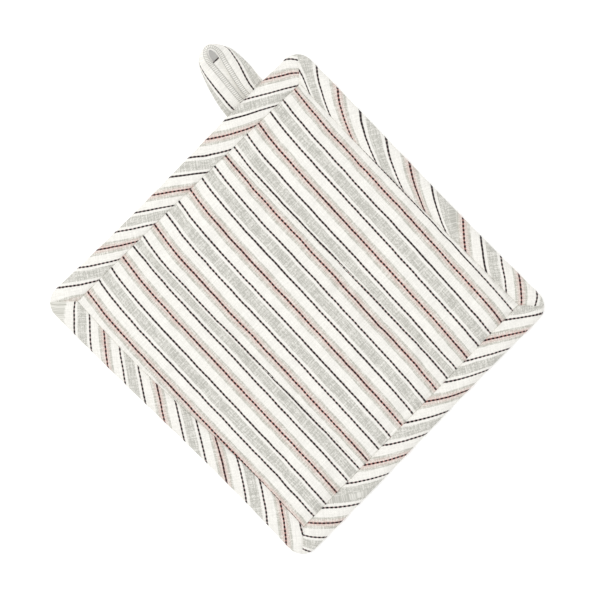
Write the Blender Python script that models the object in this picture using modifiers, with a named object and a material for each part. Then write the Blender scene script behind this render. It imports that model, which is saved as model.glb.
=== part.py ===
"""Quilted pot holder, lying face up: a padded square of cloth, a binding round it and a tape loop.

Metres, +Z up. The origin is on the pad's flat underside, at its middle. The stripes of the cloth
run along Y, and the hanging loop stands out of the +Y side, near the +X corner.
"""

import math

import bpy
import numpy as np

MM = 0.001

# The pad inside its seam: four corners of the seam line between pad and binding, X and Y in mm,
# and the same corners of the finished outer edge, as they would be with no rounding.
CORNERS = ("top_left", "top_right", "low_right", "low_left")
SEAM_CORNER_MM = {
    "top_left": (-88.3, 86.1),
    "top_right": (84.2, 84.2),
    "low_right": (83.1, -86.9),
    "low_left": (-86.9, -89.7),
}
EDGE_CORNER_MM = {
    "top_left": (-101.2, 99.8),
    "top_right": (97.9, 99.8),
    "low_right": (95.7, -100.7),
    "low_left": (-101.2, -102.9),
}

# How far each sewn side leaves its straight line, in mm outwards: bow is one arch over the side,
# sway is one arch out and one in, going round clockwise from the corner the side starts at.
#        side      from          to            seam bow, sway   edge bow, sway
SIDES = {
    "top": ("top_left", "top_right", (0.6, 0.0), (-1.0, -0.5)),
    "right": ("top_right", "low_right", (-0.7, -0.4), (-0.7, 0.3)),
    "low": ("low_right", "low_left", (0.2, 0.0), (-0.4, -0.4)),
    "left": ("low_left", "top_left", (0.3, -0.7), (-1.0, -0.6)),
}

EDGE_CORNER_RADIUS = 10.5 * MM
MITRE_REACH = 11.5 * MM
CLEARANCE = 0.3 * MM

# Binding: a strip folded round the pad's edge.
BINDING_CLOTH = 1.1 * MM
RIM_THICKNESS = 5.4 * MM
BINDING_PUFF = 0.5 * MM
FACE_STEPS = 4
ROLL_STEPS = 4

# Pad: front cloth, wadding and back cloth, quilted together.
PAD_HEIGHT = 8.8 * MM
PAD_SHOULDER = 7.4 * MM
SHOULDER_REACH = 3.6 * MM
UNDERSIDE_TUCK = 4.5 * MM
PAD_ROUND_STEPS = 4

# Quilting: two straight seams along the stripes, as a share of the way from the left seam.
QUILT_LINES = (0.264, 0.700)
QUILT_DEPTH = 1.5 * MM
QUILT_DEPTH_UNDER = 0.7 * MM
QUILT_HALF_WIDTH = 6.5 * MM

# Lines of the pad's grid: close together where the pad turns in to a seam or a quilting line.
SEAM_STEPS_MM = (0.0, 1.3, 3.2, 6.4, 11.5)
QUILT_STEPS_MM = (-6.5, -3.6, -1.6, 0.0, 1.6, 3.6, 6.5)
GRID_SPACING_MM = 8.5

# Loop: a folded tape, sewn flat on the back of the binding with its legs side by side.
TAPE_WIDTH = 13.4 * MM
TAPE_THICKNESS = 2.0 * MM
TAPE_COLUMNS = 4
LOOP_ROOT = (57.1 * MM, 99.6 * MM)
LEG_INNER_EDGE = 0.2 * MM
LIFT_MARGIN = 1.2 * MM
LIFT_FADE = 9.0 * MM
LIFT_DEPTH = 16.0 * MM

# The loop's sections, one a row. x and y: the tape's inner edge, mm from LOOP_ROOT, the middle of
# the loop where it leaves the binding. heading: the way from the inner edge to the outer one, seen
# from above. tilt: how far the inner edge is raised over the outer one. arch: how far the tape's
# middle stands proud of the line between its edges, mm.
LOOP_SECTIONS = (
    # x_mm, y_mm, heading_deg, tilt_deg, arch_mm
    (-0.20, -9.6, 180.0, 0.0, 0.0),
    (-0.20, -5.0, 180.0, 0.0, 0.0),
    (-0.20, -1.2, 180.0, 0.0, 0.0),
    (-0.25, 3.0, 180.0, 6.0, 0.4),
    (-0.30, 7.0, 180.0, 20.0, 1.0),
    (0.25, 11.5, 181.0, 31.0, 1.5),
    (1.20, 16.5, 182.0, 34.0, 1.9),
    (1.98, 21.5, 183.0, 39.0, 2.2),
    (2.68, 25.6, 185.0, 46.0, 2.3),
    (1.40, 27.5, 188.0, 54.0, 2.2),
    (0.10, 29.6, 194.0, 62.0, 1.9),
    (0.00, 31.9, 207.0, 70.0, 1.4),
    (1.15, 34.3, 238.0, 78.0, 0.8),
    (3.50, 35.5, 270.0, 84.0, 0.5),
    (5.85, 34.3, 302.0, 78.0, 0.8),
    (6.95, 31.9, 333.0, 70.0, 1.4),
    (6.80, 29.6, 346.0, 62.0, 1.9),
    (5.35, 27.5, 352.0, 54.0, 2.2),
    (3.92, 25.6, 355.0, 44.0, 2.3),
    (3.12, 21.5, 357.0, 34.0, 2.2),
    (2.15, 16.5, 358.0, 23.0, 1.9),
    (0.98, 11.5, 359.0, 10.0, 1.4),
    (0.40, 7.0, 360.0, 4.0, 0.8),
    (0.20, 3.0, 360.0, 0.0, 0.3),
    (0.20, -1.2, 360.0, 0.0, 0.0),
    (0.20, -5.0, 360.0, 0.0, 0.0),
    (0.20, -9.6, 360.0, 0.0, 0.0),
)

COLLECTION_NAME = "quilted_pot_holder"
SHARP_ANGLE = math.radians(60.0)

# Cloth colours, linear: name, colour, roughness.
PAD_FINISH = ("striped_cotton_quilted", (0.83, 0.81, 0.76, 1.0), 0.92)
BINDING_FINISH = ("striped_cotton_bias_binding", (0.78, 0.76, 0.71, 1.0), 0.9)
LOOP_FINISH = ("striped_cotton_tape", (0.80, 0.79, 0.74, 1.0), 0.9)


def smooth_step(t):
    """0 up to t = 0, 1 from t = 1, and an S-curve with level ends between."""
    t = np.clip(t, 0.0, 1.0)
    return t * t * (3.0 - 2.0 * t)


def lift(x, y):
    """How far the sewn edge is raised where it lies on the two legs of the loop."""
    full = TAPE_THICKNESS + CLEARANCE
    half = LEG_INNER_EDGE + TAPE_WIDTH + LIFT_MARGIN
    across = 1.0 - smooth_step((np.abs(x - LOOP_ROOT[0]) - half) / LIFT_FADE)
    along = smooth_step((y - LOOP_ROOT[1] + LIFT_DEPTH + LIFT_FADE) / LIFT_FADE)
    return full * across * along


# ---- outlines -------------------------------------------------------------------------------


def side_points(name, corners, which, shares):
    """Points along one side, at the given shares of its length, bowed and swayed outwards."""
    start_name, end_name, seam_shape, edge_shape = SIDES[name]
    bow, sway = (seam_shape, edge_shape)[which]
    start = np.array(corners[start_name]) * MM
    end = np.array(corners[end_name]) * MM
    run = end - start
    outwards = np.array([-run[1], run[0]]) / np.linalg.norm(run)
    shares = np.asarray(shares)[:, None]
    out = bow * np.sin(math.pi * shares) + sway * np.sin(2 * math.pi * shares)
    return start + run * shares + outwards * out * MM, outwards, np.linalg.norm(run)


def rounded_side(name, shares):
    """The outer edge's points square out from the seam's, with half of each corner's arc.

    Within MITRE_REACH of a corner the points fan out, so that the first one is on the fold that
    runs from the seam's corner to the outer one.
    """
    seam_length = side_points(name, SEAM_CORNER_MM, 0, shares)[2]
    length = side_points(name, EDGE_CORNER_MM, 1, shares)[2]
    from_seam_corner = np.minimum(shares, 1.0 - shares) * seam_length
    overhang = (length - seam_length) / 2
    from_corner = from_seam_corner + overhang * np.minimum(from_seam_corner / MITRE_REACH, 1.0)
    turn = math.pi / 4 * np.clip(1.0 - from_corner / EDGE_CORNER_RADIUS, 0.0, 1.0)
    on_arc = EDGE_CORNER_RADIUS * (1.0 - np.sin(turn))
    along = np.where(turn > 0, on_arc, from_corner) / length
    along = np.where(shares > 0.5, 1.0 - along, along)
    points, outwards, _ = side_points(name, EDGE_CORNER_MM, 1, along)
    inset = EDGE_CORNER_RADIUS * (1.0 - np.cos(turn))
    return points - outwards * inset[:, None]


def grid_shares(length_mm, lines):
    """Shares of a side where the pad's grid has a line: even, and closer at seams and quilting."""
    fixed = [step / length_mm for step in SEAM_STEPS_MM]
    fixed += [1.0 - share for share in fixed]
    for line in lines:
        fixed += [line + step / length_mm for step in QUILT_STEPS_MM]
    fixed = sorted(fixed)
    shares = [fixed[0]]
    for before, after in zip(fixed, fixed[1:]):
        parts = max(1, round((after - before) * length_mm / GRID_SPACING_MM))
        shares += [before + (after - before) * k / parts for k in range(1, parts + 1)]
    return np.array(shares)


def ring_of(columns, rows, seam):
    """Stations right round, clockwise from the top left corner, without repeating a corner."""
    side_shares = {
        "top": columns,
        "right": 1.0 - rows[::-1],
        "low": 1.0 - columns[::-1],
        "left": rows,
    }
    ring = []
    for name, shares in side_shares.items():
        if seam:
            points = side_points(name, SEAM_CORNER_MM, 0, shares)[0]
        else:
            points = rounded_side(name, shares)
        ring.append(points[:-1])
    return np.concatenate(ring)


def cross_section_ring(seam_ring, edge_ring, section):
    """Carry a section round the edge: section(width) gives reach from the seam and height."""
    outwards = edge_ring - seam_ring
    widths = np.linalg.norm(outwards, axis=1)
    outwards = outwards / widths[:, None]
    reach, height = section(widths[:, None])
    reach = np.broadcast_to(reach, height.shape)
    plan = seam_ring[:, None, :] + outwards[:, None, :] * reach[:, :, None]
    raised = height + lift(plan[:, :, 0], plan[:, :, 1])
    return np.concatenate([plan, raised[:, :, None]], axis=2)


# ---- meshes ---------------------------------------------------------------------------------


def ring_faces(stations, points, offset=0):
    """Quads between each station and the next, right round, over an open row of points."""
    station, point = np.meshgrid(np.arange(stations), np.arange(points - 1), indexing="ij")
    after = (station + 1) % stations
    corners = (
        station * points + point,
        after * points + point,
        after * points + point + 1,
        station * points + point + 1,
    )
    return np.stack(corners, axis=-1).reshape(-1, 4) + offset


def grid_faces(rows, columns):
    """Quads of an open grid of rows by columns points."""
    row, column = np.meshgrid(np.arange(rows - 1), np.arange(columns - 1), indexing="ij")
    first = row * columns + column
    corners = (first, first + 1, first + columns + 1, first + columns)
    return np.stack(corners, axis=-1).reshape(-1, 4)


def mesh_object(name, points, faces, finish, collection):
    """One named object with its own Principled material."""
    mesh = bpy.data.meshes.new(name)
    mesh.from_pydata([tuple(p) for p in points], [], [tuple(int(i) for i in f) for f in faces])
    mesh.validate()
    mesh.shade_smooth()
    mesh.set_sharp_from_angle(angle=SHARP_ANGLE)
    mesh.materials.append(material(*finish))
    made = bpy.data.objects.new(name, mesh)
    collection.objects.link(made)
    return made


def material(name, colour, roughness):
    made = bpy.data.materials.new(name)
    made.use_nodes = True
    shader = made.node_tree.nodes["Principled BSDF"]
    shader.inputs["Base Color"].default_value = colour
    shader.inputs["Roughness"].default_value = roughness
    shader.inputs["Metallic"].default_value = 0.0
    made.diffuse_color = colour
    return made


def solidify(made, thickness, offset):
    shell = made.modifiers.new("thickness", "SOLIDIFY")
    shell.thickness = thickness
    shell.offset = offset
    shell.use_even_offset = True
    shell.use_rim = True


# ---- binding --------------------------------------------------------------------------------


def binding_section(width):
    """The strip's outer surface: over the top, round the edge and back underneath.

    Top: level, with a low puff. Edge: half an ellipse as high as the rim. Under: level, at zero.
    """
    roll = RIM_THICKNESS / 2
    flat = width - roll
    over = np.linspace(0.0, 1.0, FACE_STEPS, endpoint=False)
    angle = np.linspace(math.pi / 2, -math.pi / 2, ROLL_STEPS + 1)
    under = np.linspace(1.0, 0.0, FACE_STEPS)[1:]
    reach = np.concatenate(
        [flat * over, flat + roll * np.cos(angle), flat * under], axis=1
    )
    puff = BINDING_PUFF * np.sin(math.pi * over)
    height = np.concatenate(
        [RIM_THICKNESS + puff, roll + roll * np.sin(angle), np.zeros(len(under))]
    )
    return reach, np.broadcast_to(height, reach.shape)


def build_binding(seam_ring, edge_ring, collection):
    strip = cross_section_ring(seam_ring, edge_ring, binding_section)
    stations, points = strip.shape[:2]
    faces = ring_faces(stations, points)
    made = mesh_object("binding", strip.reshape(-1, 3), faces, BINDING_FINISH, collection)
    solidify(made, BINDING_CLOTH, -1.0)
    return made


# ---- pad ------------------------------------------------------------------------------------


def pad_section(width):
    """The pad's edge inside the binding, from the seam above to the seam below.

    It runs level under the binding's top, round a half circle and back, CLEARANCE clear of it.
    """
    half = RIM_THICKNESS / 2 - BINDING_CLOTH - CLEARANCE
    flat = width - RIM_THICKNESS / 2 - CLEARANCE
    over = np.linspace(0.0, 1.0, FACE_STEPS, endpoint=False)
    angle = np.linspace(math.pi / 2, -math.pi / 2, PAD_ROUND_STEPS + 1)
    under = np.linspace(1.0, 0.0, FACE_STEPS)[1:]
    reach = np.concatenate(
        [flat * over, flat + half * np.cos(angle), flat * under], axis=1
    )
    middle = RIM_THICKNESS / 2
    above = np.full(len(over), middle + half)
    below = np.full(len(under), middle - half)
    height = np.concatenate([above, middle + half * np.sin(angle), below])
    return reach, np.broadcast_to(height, reach.shape)


def quilting(columns, width):
    """1 on each quilting line, falling to 0 at QUILT_HALF_WIDTH beside it, as a cosine squared."""
    channel = np.zeros_like(columns)
    for line in QUILT_LINES:
        beside = np.abs(columns - line) * width / QUILT_HALF_WIDTH
        dip = np.cos(math.pi / 2 * np.clip(beside, 0.0, 1.0)) ** 2
        channel = np.maximum(channel, dip)
    return channel


def pad_faces_heights(columns, rows, width, depth):
    """Heights of the pad's top and underside at the grid's points, rows down the first axis.

    Top: the seam's height, plus a shoulder that rises away from every seam as one minus a falling
    exponential, plus a low parabolic crown, less the quilting. Underside: zero, tucked up to the
    seam at the edges and slightly up along the quilting.
    """
    across = np.minimum(columns, 1.0 - columns) * width
    along = np.minimum(rows, 1.0 - rows) * depth
    rise = np.outer(
        1.0 - np.exp(-along / SHOULDER_REACH), 1.0 - np.exp(-across / SHOULDER_REACH)
    )
    arch = np.outer(1.0 - (2.0 * rows - 1.0) ** 2, 1.0 - (2.0 * columns - 1.0) ** 2)
    dip = quilting(columns, width)[None, :] * rise
    seam_top = RIM_THICKNESS - BINDING_CLOTH - CLEARANCE
    seam_low = BINDING_CLOTH + CLEARANCE
    top = seam_top + (PAD_SHOULDER - seam_top) * rise
    top = top + (PAD_HEIGHT - PAD_SHOULDER) * arch - QUILT_DEPTH * dip
    level = np.outer(smooth_step(along / UNDERSIDE_TUCK), smooth_step(across / UNDERSIDE_TUCK))
    under = seam_low * (1.0 - level) + QUILT_DEPTH_UNDER * dip * level
    return top, under


def patch_points(columns, rows):
    """Plan of the pad's grid: the four seam sides blended into each other, less the corners."""
    low = side_points("low", SEAM_CORNER_MM, 0, 1.0 - columns)[0]
    top = side_points("top", SEAM_CORNER_MM, 0, columns)[0]
    left = side_points("left", SEAM_CORNER_MM, 0, rows)[0]
    right = side_points("right", SEAM_CORNER_MM, 0, 1.0 - rows)[0]
    u = columns[None, :, None]
    v = rows[:, None, None]
    corner = {name: np.array(SEAM_CORNER_MM[name]) * MM for name in CORNERS}
    sides = (1 - v) * low[None] + v * top[None] + (1 - u) * left[:, None] + u * right[:, None]
    ends = (1 - v) * ((1 - u) * corner["low_left"] + u * corner["low_right"])
    ends = ends + v * ((1 - u) * corner["top_left"] + u * corner["top_right"])
    return sides - ends


def border_of(indices):
    """The grid's border, clockwise from the top left, matching the order of the stations."""
    return np.concatenate(
        [indices[-1, :-1], indices[::-1, -1][:-1], indices[0, ::-1][:-1], indices[:, 0][:-1]]
    )


def build_pad(columns, rows, seam_ring, edge_ring, collection):
    width = (SEAM_CORNER_MM["top_right"][0] - SEAM_CORNER_MM["top_left"][0]) * MM
    depth = (SEAM_CORNER_MM["top_left"][1] - SEAM_CORNER_MM["low_left"][1]) * MM
    plan = patch_points(columns, rows)
    raised = lift(plan[:, :, 0], plan[:, :, 1])
    top_z, under_z = pad_faces_heights(columns, rows, width, depth)
    top = np.concatenate([plan, (top_z + raised)[:, :, None]], axis=2).reshape(-1, 3)
    under = np.concatenate([plan, (under_z + raised)[:, :, None]], axis=2).reshape(-1, 3)

    indices = np.arange(len(top)).reshape(len(rows), len(columns))
    top_faces = grid_faces(len(rows), len(columns))
    under_faces = top_faces[:, ::-1] + len(top)

    edge = cross_section_ring(seam_ring, edge_ring, pad_section)
    stations, points = edge.shape[:2]
    start = 2 * len(top)
    edge_index = np.arange(stations * points).reshape(stations, points) + start
    edge_faces = ring_faces(stations, points, start)
    border = border_of(indices)
    swap = np.arange(start + stations * points)
    swap[edge_index[:, 0]] = border
    swap[edge_index[:, -1]] = border + len(top)

    faces = swap[np.concatenate([top_faces, under_faces, edge_faces])]
    every = np.concatenate([top, under, edge.reshape(-1, 3)])
    used, faces = np.unique(faces, return_inverse=True)
    return mesh_object("quilted_pad", every[used], faces.reshape(-1, 4), PAD_FINISH, collection)


# ---- hanging loop ---------------------------------------------------------------------------


def loop_surface():
    """The tape's middle surface: a row of points across the tape at each of LOOP_SECTIONS.

    Across the tape a point goes from the inner edge to the outer one along the heading, falls with
    the tilt, and is pushed off that line by the arch, which is a parabola. The straight distance
    between the edges is the tape's width less what the arch takes up.
    """
    x, y, heading, tilt, arch = (np.array(column) for column in zip(*LOOP_SECTIONS))
    heading, tilt = np.radians(heading), np.radians(tilt)
    arch = arch * MM
    chord = TAPE_WIDTH - 8.0 * arch**2 / (3.0 * TAPE_WIDTH)
    share = np.linspace(0.0, 1.0, TAPE_COLUMNS + 1)[None, :]
    proud = 4.0 * arch[:, None] * share * (1.0 - share)
    out = (chord * np.cos(tilt))[:, None] * share + np.sin(tilt)[:, None] * proud
    lowest = TAPE_THICKNESS / 2
    up = (chord * np.sin(tilt))[:, None] * (1.0 - share) + np.cos(tilt)[:, None] * proud
    plan_x = LOOP_ROOT[0] + x[:, None] * MM + np.cos(heading)[:, None] * out
    plan_y = LOOP_ROOT[1] + y[:, None] * MM + np.sin(heading)[:, None] * out
    return np.stack([plan_x, plan_y, lowest + up], axis=2)


def build_loop(collection):
    surface = loop_surface()
    sections, points = surface.shape[:2]
    faces = grid_faces(sections, points)
    made = mesh_object("hanging_loop", surface.reshape(-1, 3), faces, LOOP_FINISH, collection)
    solidify(made, TAPE_THICKNESS, 0.0)
    soft = made.modifiers.new("soft_tape", "SUBSURF")
    soft.levels = 1
    soft.render_levels = 1
    return made


def main():
    for old in list(bpy.data.objects):
        bpy.data.objects.remove(old, do_unlink=True)
    collection = bpy.data.collections.new(COLLECTION_NAME)
    bpy.context.scene.collection.children.link(collection)

    width_mm = SEAM_CORNER_MM["top_right"][0] - SEAM_CORNER_MM["top_left"][0]
    depth_mm = SEAM_CORNER_MM["top_left"][1] - SEAM_CORNER_MM["low_left"][1]
    columns = grid_shares(width_mm, QUILT_LINES)
    rows = grid_shares(depth_mm, ())
    seam_ring = ring_of(columns, rows, seam=True)
    edge_ring = ring_of(columns, rows, seam=False)

    build_pad(columns, rows, seam_ring, edge_ring, collection)
    build_binding(seam_ring, edge_ring, collection)
    build_loop(collection)


main()
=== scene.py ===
# %% [markdown]
# # A quilted pot holder, dressed around its CAD frame
#
# The object is a square pot holder: a panel of striped cotton quilted over wadding, a strip of the
# same cloth folded round its edge, and a folded tape sewn under one side to hang it by.
# The CAD frame holds one plain solid for each of the three. This lesson replaces each solid with a
# finer piece in the same place, so that the folds, seams and threads show.

import math
from functools import partial

import bpy
import numpy as np
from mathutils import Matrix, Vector
from mathutils.bvhtree import BVHTree


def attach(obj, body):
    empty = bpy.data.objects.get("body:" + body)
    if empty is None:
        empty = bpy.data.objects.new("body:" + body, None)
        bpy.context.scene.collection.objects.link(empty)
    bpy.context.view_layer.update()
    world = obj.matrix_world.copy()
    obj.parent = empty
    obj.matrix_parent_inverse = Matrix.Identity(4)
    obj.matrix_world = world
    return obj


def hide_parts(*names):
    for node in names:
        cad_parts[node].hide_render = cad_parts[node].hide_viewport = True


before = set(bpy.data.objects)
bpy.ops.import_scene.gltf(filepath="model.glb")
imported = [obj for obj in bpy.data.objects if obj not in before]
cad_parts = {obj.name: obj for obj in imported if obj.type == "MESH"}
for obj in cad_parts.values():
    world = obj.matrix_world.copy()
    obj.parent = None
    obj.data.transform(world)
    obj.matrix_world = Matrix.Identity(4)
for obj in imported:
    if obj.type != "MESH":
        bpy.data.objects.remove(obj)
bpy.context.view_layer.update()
MM = 0.001

# %% [markdown]
# ## The outline
#
# A hand-made square is never quite square. Each of its four sides has a seam line, where panel
# and binding meet, and an outer edge, where the binding turns under. Both are straight lines
# between named corners, bowed a little. A bow is one arch of a sine over the side and a sway is
# one arch out and one in, which gives the slightly wandering edge of real sewing.
# The numbers repeat those of the CAD source, so the finer pieces lie on its solids. Only the left
# seam lies up to 1.5 mm aside of it here, so that it meets the stripes where the real one does.

# %% Sides and corners, in millimetres
SEAM_CORNERS = {
    "top_left": (-87.0, 86.1),
    "top_right": (84.2, 84.2),
    "low_right": (83.1, -86.9),
    "low_left": (-86.9, -89.7),
}
EDGE_CORNERS = {
    "top_left": (-101.2, 99.8),
    "top_right": (97.9, 99.8),
    "low_right": (95.7, -100.7),
    "low_left": (-101.2, -102.9),
}
# Clockwise from the top left: start, end, (bow, sway) of the seam, (bow, sway) of the edge.
SIDES = {
    "top": ("top_left", "top_right", (0.6, 0.0), (-1.0, -0.5)),
    "right": ("top_right", "low_right", (-0.7, -0.4), (-0.7, 0.3)),
    "low": ("low_right", "low_left", (0.2, 0.0), (-0.4, -0.4)),
    "left": ("low_left", "top_left", (0.3, -1.5), (-1.0, -0.6)),
}
CORNER_RADIUS = 10.5
MITRE_REACH = 11.5
RIM = 5.4
SEAM_HEIGHT = 4.4


def smooth_step(t):
    """0 up to t = 0, 1 from t = 1, and an S-curve with level ends between."""
    t = np.clip(t, 0.0, 1.0)
    return t * t * (3.0 - 2.0 * t)


def unit(vectors):
    """The same directions with length 1."""
    return vectors / np.linalg.norm(vectors, axis=-1, keepdims=True)


def side_axes(name, corners):
    """Start corner, unit vector along, unit vector outwards and length of one straight side."""
    start, end = (np.array(corners[corner]) for corner in SIDES[name][:2])
    along = unit(end - start)
    return start, along, np.array([-along[1], along[0]]), np.linalg.norm(end - start)


def side_points(name, corners, shape, shares):
    """Points on a side at shares of its length: the straight line plus its bow and sway."""
    start, along, outwards, length = side_axes(name, corners)
    shares = np.asarray(shares)[:, None]
    out = shape[0] * np.sin(math.pi * shares) + shape[1] * np.sin(2 * math.pi * shares)
    return start + along * length * shares + outwards * out


def seam_side(name, shares):
    return side_points(name, SEAM_CORNERS, SIDES[name][2], shares)


def edge_side(name, shares):
    """The outer edge square out from the seam, fanned near a corner and rounded there."""
    seam_length = side_axes(name, SEAM_CORNERS)[3]
    outwards, length = side_axes(name, EDGE_CORNERS)[2:]
    from_seam_corner = np.minimum(shares, 1.0 - shares) * seam_length
    overhang = (length - seam_length) / 2
    from_corner = from_seam_corner + overhang * np.minimum(from_seam_corner / MITRE_REACH, 1.0)
    turn = math.pi / 4 * np.clip(1.0 - from_corner / CORNER_RADIUS, 0.0, 1.0)
    along = np.where(turn > 0, CORNER_RADIUS * (1.0 - np.sin(turn)), from_corner) / length
    along = np.where(shares > 0.5, 1.0 - along, along)
    points = side_points(name, EDGE_CORNERS, SIDES[name][3], along)
    return points - outwards * (CORNER_RADIUS * (1.0 - np.cos(turn)))[:, None]


# %% [markdown]
# ## Where the tape lifts the edge
#
# The two legs of the loop are sewn flat against the back of the binding. The pad's edge lies on
# them, so it is raised there by the thickness of the tape.

# %% Lift over the legs
TAPE_WIDTH = 13.4
TAPE_THICKNESS = 2.0
LOOP_ROOT = (57.1, 99.6)
LIFT = TAPE_THICKNESS + 0.3
LIFT_HALF = TAPE_WIDTH + 1.4
LIFT_LENGTH = 25.0
LIFT_FADE = 9.0


def lift(points):
    """Millimetres that the sewn edge is raised at points: full over the legs, then an S-curve."""
    beside, beyond = points[..., 0] - LOOP_ROOT[0], points[..., 1] - LOOP_ROOT[1]
    across = 1.0 - smooth_step((np.abs(beside) - LIFT_HALF) / LIFT_FADE)
    return LIFT * across * smooth_step((beyond + LIFT_LENGTH) / LIFT_FADE)


# %% [markdown]
# ## From arrays to meshes
#
# Every piece is a grid of points worked out as one array. These helpers turn such arrays into a
# Blender mesh. The UV map named "cloth" ties a piece to its material: it says, in metres, where
# each corner of each face was in the flat cloth, across the stripes and along them.

# %% Mesh helpers


def grid_quads(rows, columns, closed=False):
    """Quads of a grid of rows by columns points; closed joins the last row to the first."""
    count = rows if closed else rows - 1
    row, column = np.meshgrid(np.arange(count), np.arange(columns - 1), indexing="ij")
    after = (row + 1) % rows
    first, second = row * columns + column, after * columns + column
    return np.stack([first, first + 1, second + 1, second], axis=-1).reshape(-1, 4)


def tube_faces(tubes, rings, around):
    """Quads round tubes made of rings of points, and one face to close each end of each tube."""
    base = np.arange(tubes)[:, None, None] * rings * around
    step = np.arange(rings - 1)[:, None] * around
    side = np.arange(around)
    first, second = base + step + side, base + step + (side + 1) % around
    quads = np.stack([first, second, second + around, first + around], axis=-1)
    near = base[:, 0] + side
    far = near + (rings - 1) * around
    return quads.reshape(-1, 4).tolist() + near[:, ::-1].tolist() + far.tolist()


def new_object(name, data):
    """An object in the scene for a mesh, a lamp or a camera."""
    made = bpy.data.objects.new(name, data)
    bpy.context.scene.collection.objects.link(made)
    return made


def finished(piece):
    """A piece as it is with its modifiers."""
    return piece.evaluated_get(bpy.context.evaluated_depsgraph_get())


def corners_of(mesh):
    """The corners of a mesh as an array of n x 3, in metres."""
    flat = np.empty(len(mesh.vertices) * 3)
    mesh.vertices.foreach_get("co", flat)
    return flat.reshape(-1, 3)


def make_piece(name, points_mm, faces, material, cloth_mm=None):
    """A named mesh object from points, faces and the cloth position of each face corner."""
    mesh = bpy.data.meshes.new(name)
    mesh.from_pydata((np.asarray(points_mm) * MM).tolist(), [], [list(map(int, f)) for f in faces])
    if cloth_mm is not None:
        layer = mesh.uv_layers.new(name="cloth")
        layer.data.foreach_set("uv", (np.asarray(cloth_mm) * MM).astype(np.float32).ravel())
    mesh.materials.append(material)
    mesh.shade_smooth()
    mesh.validate()
    return new_object(name, mesh)


def report(piece):
    """Print how many triangles a finished piece has and how high it stands."""
    mesh = finished(piece).data
    count = sum(len(polygon.vertices) - 2 for polygon in mesh.polygons)
    height = corners_of(mesh)[:, 2] / MM
    print(f"{piece.name}: {count} triangles, {height.min():.2f} to {height.max():.2f} mm high")


def add_node(tree, kind, inputs=(), **settings):
    """Add one node with its settings, and set or link its inputs, a list or a table by name.

    A node among them stands for its first output in use. All but nodes and sockets are constants.
    """
    made = tree.nodes.new("ShaderNode" + kind)
    for key, value in settings.items():
        setattr(made, key, value)
    for key, value in inputs.items() if isinstance(inputs, dict) else enumerate(inputs):
        if isinstance(value, bpy.types.Node):
            value = next(output for output in value.outputs if output.enabled)
        if isinstance(value, bpy.types.NodeSocket):
            tree.links.new(value, made.inputs[key])
        else:
            made.inputs[key].default_value = value
    return made


def new_material(name):
    """An empty node material, and the function above bound to its tree."""
    made = bpy.data.materials.new(name)
    made.use_nodes = True
    made.node_tree.nodes.clear()
    return made, partial(add_node, made.node_tree)


def linear(hex_colour, share=1.0):
    """The linear RGBA of an sRGB colour written as six hex digits, or a share of its light."""
    parts = np.array([int(hex_colour[k : k + 2], 16) for k in (0, 2, 4)]) / 255.0
    parts = np.where(parts <= 0.04045, parts / 12.92, ((parts + 0.055) / 1.055) ** 2.4)
    return (*(share * parts).tolist(), 1.0)


# %% [markdown]
# ## The cloth: yarn-dyed striped cotton
#
# The stripes of this plain-woven cotton are dyed warp threads. One repeat is symmetrical about a
# dark red line: a band of beige, then bare white, a near-black line, a narrow white gap and half of
# a broad grey band. So one number gives the colour everywhere: the distance to the nearest red
# line, which a Ping-Pong node folds out of the cloth position.
# The dark lines are a thick thread that dips under the weft, so they read as rows of dashes, thick
# where the thread is on top and thin where it dips. The red has tinted the beige beside it.
# Undyed weft crosses the bands, so they are mottled along both threads. Real threads are finer.
# Here they are half a millimetre apart, which is one pixel of the picture.

# %% Cotton material
REPEAT = 27.2
BEIGE_REACH = 3.5
TINT_ENDS = (0.5, 2.8)
DARK_LINE = 8.8
GREY_START = 10.85
LINE_HALF = 0.545
LINE_BLUR = 0.13
BAND_BLUR = 0.3
DASH_PITCH = 2.36
DASH_ENDS = (0.88, 0.5)
DASH_TAPER = 0.14
THREAD_SPACING = 0.55
WANDER = 0.7
YARN_NOISES = ((1.6, 0.11, 1.0), (0.11, 1.6, 1.0), (1.1, 1.1, 1.0))
COVER = 1.15
YARN_SHOWS = 0.8
WEAVE_SHOWS = 0.15
YARN_SHADE = (0.16, 0.91)
WEAVE_SHADE = 0.03

WHITE_THREAD = linear("EAE8E2")
BEIGE_THREAD = linear("BAB9AF")
TINTED_THREAD = linear("D9C0B7")
GREY_THREAD = linear("B9B8B0")
RED_DASH = linear("220A0E")
RED_GAP = linear("A06C65")
BLACK_DASH = linear("12080B")
BLACK_GAP = linear("8B7674")


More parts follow.
